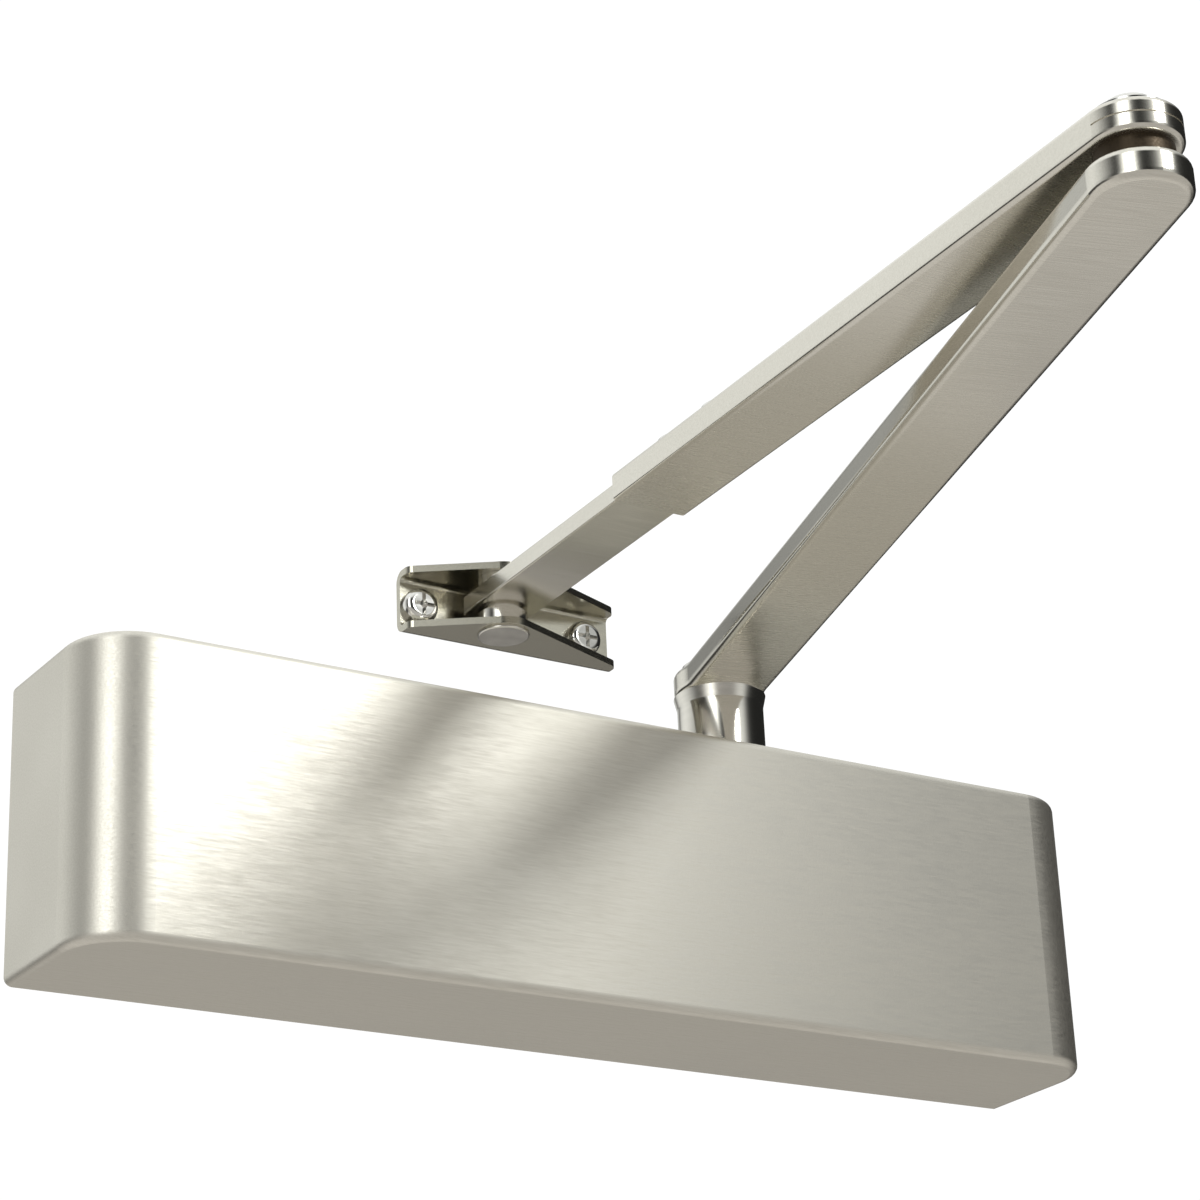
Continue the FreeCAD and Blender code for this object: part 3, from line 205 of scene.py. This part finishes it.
def painted_casting(name, light, dark):
    """Silver paint on a casting: a fine orange-peel relief and slow changes of tone."""
    material, nodes, links, shader = start_material(name)
    shader.inputs["Metallic"].default_value = 0.55
    peel = speckle(nodes, links, 900.0)
    clouds = speckle(nodes, links, 25.0)
    links.new(blend_colours(nodes, links, clouds, dark, light), shader.inputs["Base Color"])
    links.new(remap(nodes, links, peel, *NOISE_BAND, 0.42, 0.55), shader.inputs["Roughness"])
    bump(nodes, links, peel, shader, strength=0.25, distance=0.00008)
    return material


def seal_rubber(name, light, dark):
    """Black rubber: a fine grit in its tone, its gloss and its relief."""
    material, nodes, links, shader = start_material(name)
    grit = speckle(nodes, links, 1500.0)
    links.new(blend_colours(nodes, links, grit, dark, light), shader.inputs["Base Color"])
    links.new(remap(nodes, links, grit, *NOISE_BAND, 0.45, 0.62), shader.inputs["Roughness"])
    bump(nodes, links, grit, shader, strength=0.15, distance=0.00005)
    return material


def bronze_with_painted_shade(name, light, dark):
    """Oiled porous bronze: dark pores in its tone, its gloss and its relief."""
    material, nodes, links, shader = start_material(name)
    shader.inputs["Metallic"].default_value = 0.8
    pores = speckle(nodes, links, 2200.0, 4.0)
    links.new(blend_colours(nodes, links, pores, dark, light), shader.inputs["Base Color"])
    links.new(remap(nodes, links, pores, *NOISE_BAND, 0.35, 0.6), shader.inputs["Roughness"])
    bump(nodes, links, pores, shader, strength=0.3, distance=0.00005)
    return material


# ---------------------------------------------------------------- finishes
NICKEL = ((0.78, 0.755, 0.69), (0.69, 0.665, 0.60))
ARM_GRAIN = (90.0, 2800.0, 2800.0)

finishes = {
    "cover_nickel": brushed_metal("satin_nickel_cover", *NICKEL, 0.46, 0.0, (200.0, 2700.0, 2700.0),
                                  relief=0.32, spread=0.07, stretch=0.4),
    "arm_nickel": brushed_metal("satin_nickel_arm", *NICKEL, 0.27, ARM_HEADING + ACROSS, ARM_GRAIN,
                                side_rough=0.15),
    "bar_nickel": brushed_metal("bright_nickel_bar", *NICKEL, 0.22, FOREARM_HEADING + ACROSS, ARM_GRAIN,
                                side_rough=0.2),
    # The shoe has a darker, warmer copy of the satin nickel: painted shade for its inner faces and flange
    # undersides.
    "shoe_nickel": brushed_metal("satin_nickel_shoe_painted_shade", (0.56, 0.54, 0.465), (0.46, 0.44, 0.37), 0.22, 0.0,
                                 (300.0, 2400.0, 2400.0)),
    "collar_nickel": brushed_metal("polished_nickel_collar", (0.80, 0.775, 0.72), (0.72, 0.70, 0.645), 0.12,
                                   0.0, (60.0, 60.0, 4200.0), relief=0.01, spread=0.02),
    "screw_chrome": bright_metal("plated_screw", (0.82, 0.81, 0.78), (0.72, 0.71, 0.68), 0.12),
    "spacer_chrome": bright_metal("plated_rivet", (0.80, 0.78, 0.73), (0.70, 0.68, 0.63), 0.16),
    "zinc_screw": bright_metal("zinc_screw", (0.66, 0.67, 0.68), (0.5, 0.51, 0.52), 0.3),
    "bearing_steel": bright_metal("bearing_steel", (0.62, 0.62, 0.63), (0.52, 0.52, 0.53), 0.18),
    "spindle_steel": bright_metal("spindle_steel", (0.56, 0.56, 0.57), (0.44, 0.44, 0.45), 0.26),
    "plug_steel": brushed_metal("turned_plug", (0.58, 0.58, 0.58), (0.44, 0.44, 0.44), 0.34, 0.0,
                                (500.0, 500.0, 500.0)),
    "spring_strip": brushed_metal("spring_strip", (0.42, 0.42, 0.43), (0.3, 0.3, 0.31), 0.3, ACROSS,
                                  (300.0, 2000.0, 2000.0)),
    "spring_steel": bright_metal("spring_wire", (0.26, 0.26, 0.27), (0.16, 0.16, 0.17), 0.34),
    "piston_iron": brushed_metal("ground_iron", (0.40, 0.40, 0.41), (0.27, 0.27, 0.28), 0.38, ACROSS,
                                 (300.0, 1800.0, 1800.0)),
    "valve_brass": bright_metal("turned_brass", (0.80, 0.62, 0.30), (0.66, 0.48, 0.2), 0.24),
    "cast_body": painted_casting("silver_casting", (0.56, 0.56, 0.55), (0.46, 0.46, 0.45)),
    "seal_rubber": seal_rubber("nitrile_rubber", (0.03, 0.03, 0.03), (0.012, 0.012, 0.012)),
    # The bush's bronze colours are darker than the oiled bronze's own tone: painted shade for the dark gap
    # round it.
    "bush_bronze": bronze_with_painted_shade("bronze_with_painted_shade", (0.07, 0.05, 0.03), (0.02, 0.014, 0.008)),
}
slot_of = {part["node"]: part["material_slot"] for part in frame["record"]["subparts"]}
for node, thing in frame["nodes"].items():
    for number in range(len(thing.material_slots)):
        thing.material_slots[number].material = finishes[slot_of[node]]

# The forearm's tube has the main arm's finish, with its grain across its own length.
forearm_nickel = brushed_metal("satin_nickel_forearm", *NICKEL, 0.27, FOREARM_HEADING + ACROSS, ARM_GRAIN,
                               side_rough=0.15)
frame["nodes"]["forearm_tube"].material_slots[0].material = forearm_nickel


# ---------------------------------------------------------------- springs
BORE_Y = -0.018988
SEAT_FACE, PISTON_FACE = -0.081, 0.012625
SPRING_SPLIT = -0.0566
END_GAP = 0.00005
STEPS_PER_TURN, WIRE_POINTS = 28, 16
# Each spring's mean radius, wire radius and turns.
SPRINGS = {"outer_spring": (0.010987, 0.0015, 14), "inner_spring": (0.006588, 0.00095, 21)}


def coil_surface(mean_r, wire_r, turns, low, high):
    """A stretch of a spring with closed ends, as points in rings round the wire, from x = low to x = high.
    With u in turns, x climbs one wire width in the first turn, by an even pitch in the middle turns and one
    wire width in the last, y = bore + mean_r cos 2 pi u, and z = mean_r sin 2 pi u. Each ring is
    centre + wire_r (cos s outwards + sin s across), where across = along the wire x outwards."""
    first, last = SEAT_FACE + wire_r + END_GAP, PISTON_FACE - wire_r - END_GAP
    knots_u = [0.0, 1.0, turns - 1.0, float(turns)]
    knots_x = [first, first + 2 * wire_r, last - 2 * wire_r, last]
    u_low, u_high = np.interp([low, high], knots_x, knots_u)
    u = np.linspace(u_low, u_high, int((u_high - u_low) * STEPS_PER_TURN) + 1)
    x = np.interp(u, knots_u, knots_x)
    cos_u, sin_u = np.cos(2 * np.pi * u), np.sin(2 * np.pi * u)
    outwards = np.column_stack([np.zeros_like(u), cos_u, sin_u])
    centre = np.column_stack([x, BORE_Y + mean_r * cos_u, mean_r * sin_u])
    along = np.column_stack([np.gradient(x, u), -2 * np.pi * mean_r * sin_u, 2 * np.pi * mean_r * cos_u])
    along /= np.linalg.norm(along, axis=1, keepdims=True)
    across = np.cross(along, outwards)
    s = np.linspace(0.0, 2 * np.pi, WIRE_POINTS, endpoint=False)[None, :, None]
    return centre[:, None, :] + wire_r * (np.cos(s) * outwards[:, None, :] + np.sin(s) * across[:, None, :])


def ringed_mesh(name, rings, rounded=True):
    """A closed mesh from rings of points: quads from ring to ring, and one flat face over each end ring."""
    count, around = rings.shape[:2]
    index = np.arange(count * around).reshape(count, around)
    turned = np.roll(index, -1, axis=1)
    quads = np.stack([index[:-1], turned[:-1], turned[1:], index[1:]], axis=-1).reshape(-1, 4)
    faces = quads.tolist() + [index[0][::-1].tolist(), index[-1].tolist()]
    mesh = bpy.data.meshes.new(name)
    mesh.from_pydata(rings.reshape(-1, 3).tolist(), [], faces)
    smooth = np.full(len(faces), rounded)
    smooth[-2:] = False
    mesh.polygons.foreach_set("use_smooth", smooth)
    mesh.update()
    return mesh


def spring_stretch(name, node, sizes, low, high):
    """A stretch of one spring between two places along the bore, built as a mesh with the spring finish and
    attached to the closer's body in place of the imported spring, which is hidden."""
    piece = bpy.data.objects.new(name, ringed_mesh(name, coil_surface(*sizes, low, high)))
    bpy.context.collection.objects.link(piece)
    piece.data.materials.append(finishes["spring_steel"])
    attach(piece, "closer_body")
    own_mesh(piece)
    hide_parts(node)


for node, sizes in SPRINGS.items():
    spring_stretch(node + "_seat_end", node, sizes, SEAT_FACE, SPRING_SPLIT)
    spring_stretch(node + "_piston_end", node, sizes, SPRING_SPLIT, PISTON_FACE)


# ---------------------------------------------------------------- threads of the shoe's screws
SHANK_R, THREAD_HEIGHT, THREAD_PITCH = 0.002, 0.0002, 0.0007
THREAD_FIRST_Y, THREAD_LAST_Y = -0.0085, -0.0054
SHOE_SCREW_X, SHOE_SCREW_Z = (-0.034033, 0.006467), 0.0598
THREAD_STEPS = 40
LOWEST_RISE = 0.1
# Both half widths are shares of the pitch.
CREST_HALF_WIDTH, FOOT_HALF_WIDTH = 0.06, 0.38


def thread_surface(axis_x):
    """A right-hand ridge wound round a shank. With u in turns, its middle is at y = first y + pitch x u and
    its bearing is 2 pi u about Y. Its crest rises from inside the shank over the first half turn and sinks
    back over the last. Each ring has four corners: a narrow crest, and a wide foot just inside the shank."""
    turns = (THREAD_LAST_Y - THREAD_FIRST_Y) / THREAD_PITCH
    u = np.linspace(0.0, turns, int(turns * THREAD_STEPS) + 1)
    rise = np.clip(2 * np.minimum(u, turns - u), LOWEST_RISE, 1.0)
    foot = np.full_like(u, SHANK_R - THREAD_HEIGHT / 2)
    crest = foot + 1.5 * THREAD_HEIGHT * rise
    radius = np.stack([crest, crest, foot, foot], axis=1)
    shift = THREAD_PITCH * np.array([CREST_HALF_WIDTH, -CREST_HALF_WIDTH, -FOOT_HALF_WIDTH, FOOT_HALF_WIDTH])
    turn = 2 * np.pi * u[:, None]
    return np.stack([axis_x + radius * np.sin(turn), THREAD_FIRST_Y + THREAD_PITCH * u[:, None] + shift,
                     SHOE_SCREW_Z + radius * np.cos(turn)], axis=2)


for side, axis_x in zip(("left", "right"), SHOE_SCREW_X):
    name = "shoe_screw_thread_" + side
    ridge = bpy.data.objects.new(name, ringed_mesh(name, thread_surface(axis_x), rounded=False))
    bpy.context.collection.objects.link(ridge)
    ridge.data.materials.append(finishes["screw_chrome"])
    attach(ridge, "frame_shoe")


# ---------------------------------------------------------------- studio
WALL_TINT = (0.985, 1.0, 0.975)
SKY_TINT = (0.985, 1.0, 0.985)
FLOOR_TINT = (1.0, 0.97, 0.92)
PAPER_GLOW = 1.05
SKY_GLOW = 1.05
SKY_RIGHT_SHARE = 0.1            # of the sky's glow that is left at its right
FAR_GLOW, NEAR_GLOW, FRONT_GLOW = 0.06, 0.68, 0.52
# The bands are the parts of a direction's X, Y or Z over which one glow passes into the next.
SKY_EDGE = (0.56, 0.7)
SKY_DARKENING = (0.45, 0.85)
FLOOR_EDGE = (-0.12, -0.02)
FRONT_TO_BACK = (-0.15, 0.35)
FAR_TO_NEAR = (-0.36, -0.46)
# Each stop is a heading in degrees from -Y towards +X, and a brightness.
HEADINGS = [
    (-180, 0.2), (-174, 0.25), (-165, 0.8), (-150, 0.95), (-137, 0.95), (-118, 0.7), (-100, 0.3),
    (-86, 0.02), (-74, 0.05), (-62, 2.2), (-52, 5.0), (-42, 0.7), (-33, 0.0), (-15, 0.0), (0, 0.18),
    (13, 0.82), (27, 0.82), (40, 0.1), (54, 0.02), (78, 0.02), (90, 0.02), (130, 0.02), (142, 0.04),
    (150, 0.5), (165, 0.8), (180, 0.2),
]

FLOOR_HEIGHT, FLOOR_REACH, FLOOR_CORNERS = -0.9, 6.0, 64
LAMP_PLACE, LAMP_TARGET = (0.108, -0.489, 0.251), (-0.03, -0.038, 0.0)
LAMP_WIDTH, LAMP_WATTS = 0.096, 0.8
CAMERA_PLACE = (-0.34042, -0.56654, -0.21288)
CAMERA_YAW, CAMERA_PITCH, CAMERA_ROLL = math.radians(32.359), math.radians(23.295), math.radians(-2.441)
CAMERA_LENS, CAMERA_SENSOR = 97.355, 36.0


def glow(nodes, tint=(1.0, 1.0, 1.0), strength=1.0):
    """An even light of one tint; either value may be linked afterwards."""
    node = add_node(nodes, "ShaderNodeBackground")
    node.inputs["Color"].default_value = (*tint, 1.0)
    node.inputs["Strength"].default_value = strength
    return node


def mix_glows(nodes, links, factor, first, second):
    """The first light where the factor is 0 and the second where it is 1."""
    node = add_node(nodes, "ShaderNodeMixShader")
    links.new(factor, node.inputs["Fac"])
    links.new(first, node.inputs[1])
    links.new(second, node.inputs[2])
    return node.outputs["Shader"]


def studio_surround():
    """Light from all round: brightness by compass heading from a ramp, faded towards a sky that darkens to
    the right. Below the horizon the back of the floor brightens from its far glow to its near glow as the
    direction steepens, and the front has a glow of its own. Behind the closer there is white paper."""
    world = bpy.data.worlds.new("studio")
    bpy.context.scene.world = world
    world.use_nodes = True
    nodes, links = world.node_tree.nodes, world.node_tree.links
    nodes.clear()
    out = add_node(nodes, "ShaderNodeOutputWorld")
    place = add_node(nodes, "ShaderNodeTexCoord")
    split = add_node(nodes, "ShaderNodeSeparateXYZ")
    links.new(place.outputs["Generated"], split.inputs["Vector"])
    flip = add_node(nodes, "ShaderNodeMath", operation="MULTIPLY")
    flip.inputs[1].default_value = -1.0
    links.new(split.outputs["Y"], flip.inputs[0])
    heading = add_node(nodes, "ShaderNodeMath", operation="ARCTAN2")
    links.new(split.outputs["X"], heading.inputs[0])
    links.new(flip.outputs["Value"], heading.inputs[1])
    share = remap(nodes, links, heading.outputs["Value"], -math.pi, math.pi, 0.0, 1.0)
    ramp = add_node(nodes, "ShaderNodeValToRGB")
    ramp.color_ramp.interpolation = "B_SPLINE"
    elements = ramp.color_ramp.elements
    peak = max(brightness for _, brightness in HEADINGS)
    for number, (degrees, brightness) in enumerate(HEADINGS):
        place_on_ramp = (degrees + 180.0) / 360.0
        element = elements[number] if number < 2 else elements.new(place_on_ramp)
        element.position = place_on_ramp
        element.color = (*(brightness / peak * channel for channel in WALL_TINT), 1.0)
    links.new(share, ramp.inputs["Fac"])
    walls = glow(nodes, strength=peak)
    links.new(ramp.outputs["Color"], walls.inputs["Color"])

    sky = glow(nodes, SKY_TINT)
    sky_strength = remap(nodes, links, split.outputs["X"], *SKY_DARKENING, SKY_GLOW,
                         SKY_RIGHT_SHARE * SKY_GLOW)
    links.new(sky_strength, sky.inputs["Strength"])
    height = remap(nodes, links, split.outputs["Z"], *SKY_EDGE, 0.0, 1.0)
    above = mix_glows(nodes, links, height, walls.outputs["Background"], sky.outputs["Background"])

    ground = glow(nodes, FLOOR_TINT)
    pool = add_node(nodes, "ShaderNodeMix", data_type="FLOAT")
    pool.inputs[2].default_value = FRONT_GLOW
    links.new(remap(nodes, links, split.outputs["Y"], *FRONT_TO_BACK, 0.0, 1.0), pool.inputs[0])
    links.new(remap(nodes, links, split.outputs["Z"], *FAR_TO_NEAR, FAR_GLOW, NEAR_GLOW), pool.inputs[3])
    links.new(pool.outputs[0], ground.inputs["Strength"])
    depth = remap(nodes, links, split.outputs["Z"], *FLOOR_EDGE, 1.0, 0.0)
    surround = mix_glows(nodes, links, depth, above, ground.outputs["Background"])

    paper = glow(nodes, strength=PAPER_GLOW)
    seen = add_node(nodes, "ShaderNodeLightPath")
    whole = mix_glows(nodes, links, seen.outputs["Is Camera Ray"], surround, paper.outputs["Background"])
    links.new(whole, out.inputs["Surface"])


def studio_floor():
    """A pale round floor: one flat face whose corners stand at even bearings, x = reach cos bearing,
    y = reach sin bearing, z = the floor's height."""
    bearing = np.linspace(0.0, 2 * np.pi, FLOOR_CORNERS, endpoint=False)
    points = np.column_stack([FLOOR_REACH * np.cos(bearing), FLOOR_REACH * np.sin(bearing),
                              np.full_like(bearing, FLOOR_HEIGHT)])
    mesh = bpy.data.meshes.new("floor")
    mesh.from_pydata(points.tolist(), [], [list(range(FLOOR_CORNERS))])
    floor = bpy.data.objects.new("floor", mesh)
    bpy.context.collection.objects.link(floor)
    material, _, _, shader = start_material("pale_floor")
    shader.inputs["Base Color"].default_value = (0.78, 0.77, 0.74, 1.0)
    shader.inputs["Roughness"].default_value = 0.9
    mesh.materials.append(material)
    floor.visible_glossy = False
    floor.visible_diffuse = False
    floor.visible_shadow = False


def key_light():
    """A small soft lamp, near enough for the arms to throw two soft bands on the cover's front."""
    lamp = bpy.data.lights.new("key_lamp", "AREA")
    lamp.shape = "DISK"
    lamp.size = LAMP_WIDTH
    lamp.energy = LAMP_WATTS
    lamp.color = WALL_TINT
    holder = bpy.data.objects.new("key_lamp", lamp)
    holder.location = LAMP_PLACE
    holder.rotation_mode = "QUATERNION"
    holder.rotation_quaternion = (Vector(LAMP_TARGET) - Vector(LAMP_PLACE)).to_track_quat("-Z", "Y")
    holder.visible_camera = False
    bpy.context.collection.objects.link(holder)


def studio_camera():
    """The camera looks up at the closer from below and to its left."""
    reach = math.cos(CAMERA_PITCH)
    ahead = Vector((math.sin(CAMERA_YAW) * reach, math.cos(CAMERA_YAW) * reach, math.sin(CAMERA_PITCH)))
    level = ahead.cross(Vector((0.0, 0.0, 1.0))).normalized()
    upright = level.cross(ahead)
    right = math.cos(CAMERA_ROLL) * level + math.sin(CAMERA_ROLL) * upright
    up = -math.sin(CAMERA_ROLL) * level + math.cos(CAMERA_ROLL) * upright
    camera = bpy.data.objects.new("camera", bpy.data.cameras.new("camera"))
    bpy.context.collection.objects.link(camera)
    turn = Matrix((right, up, -ahead)).transposed().to_4x4()
    camera.matrix_world = Matrix.Translation(CAMERA_PLACE) @ turn
    camera.data.sensor_width = CAMERA_SENSOR
    camera.data.lens = CAMERA_LENS
    camera.data.clip_start = 0.01
    camera.data.clip_end = 50.0
    bpy.context.scene.camera = camera


studio_surround()
studio_floor()
key_light()
studio_camera()
bpy.context.scene.view_settings.view_transform = "Standard"
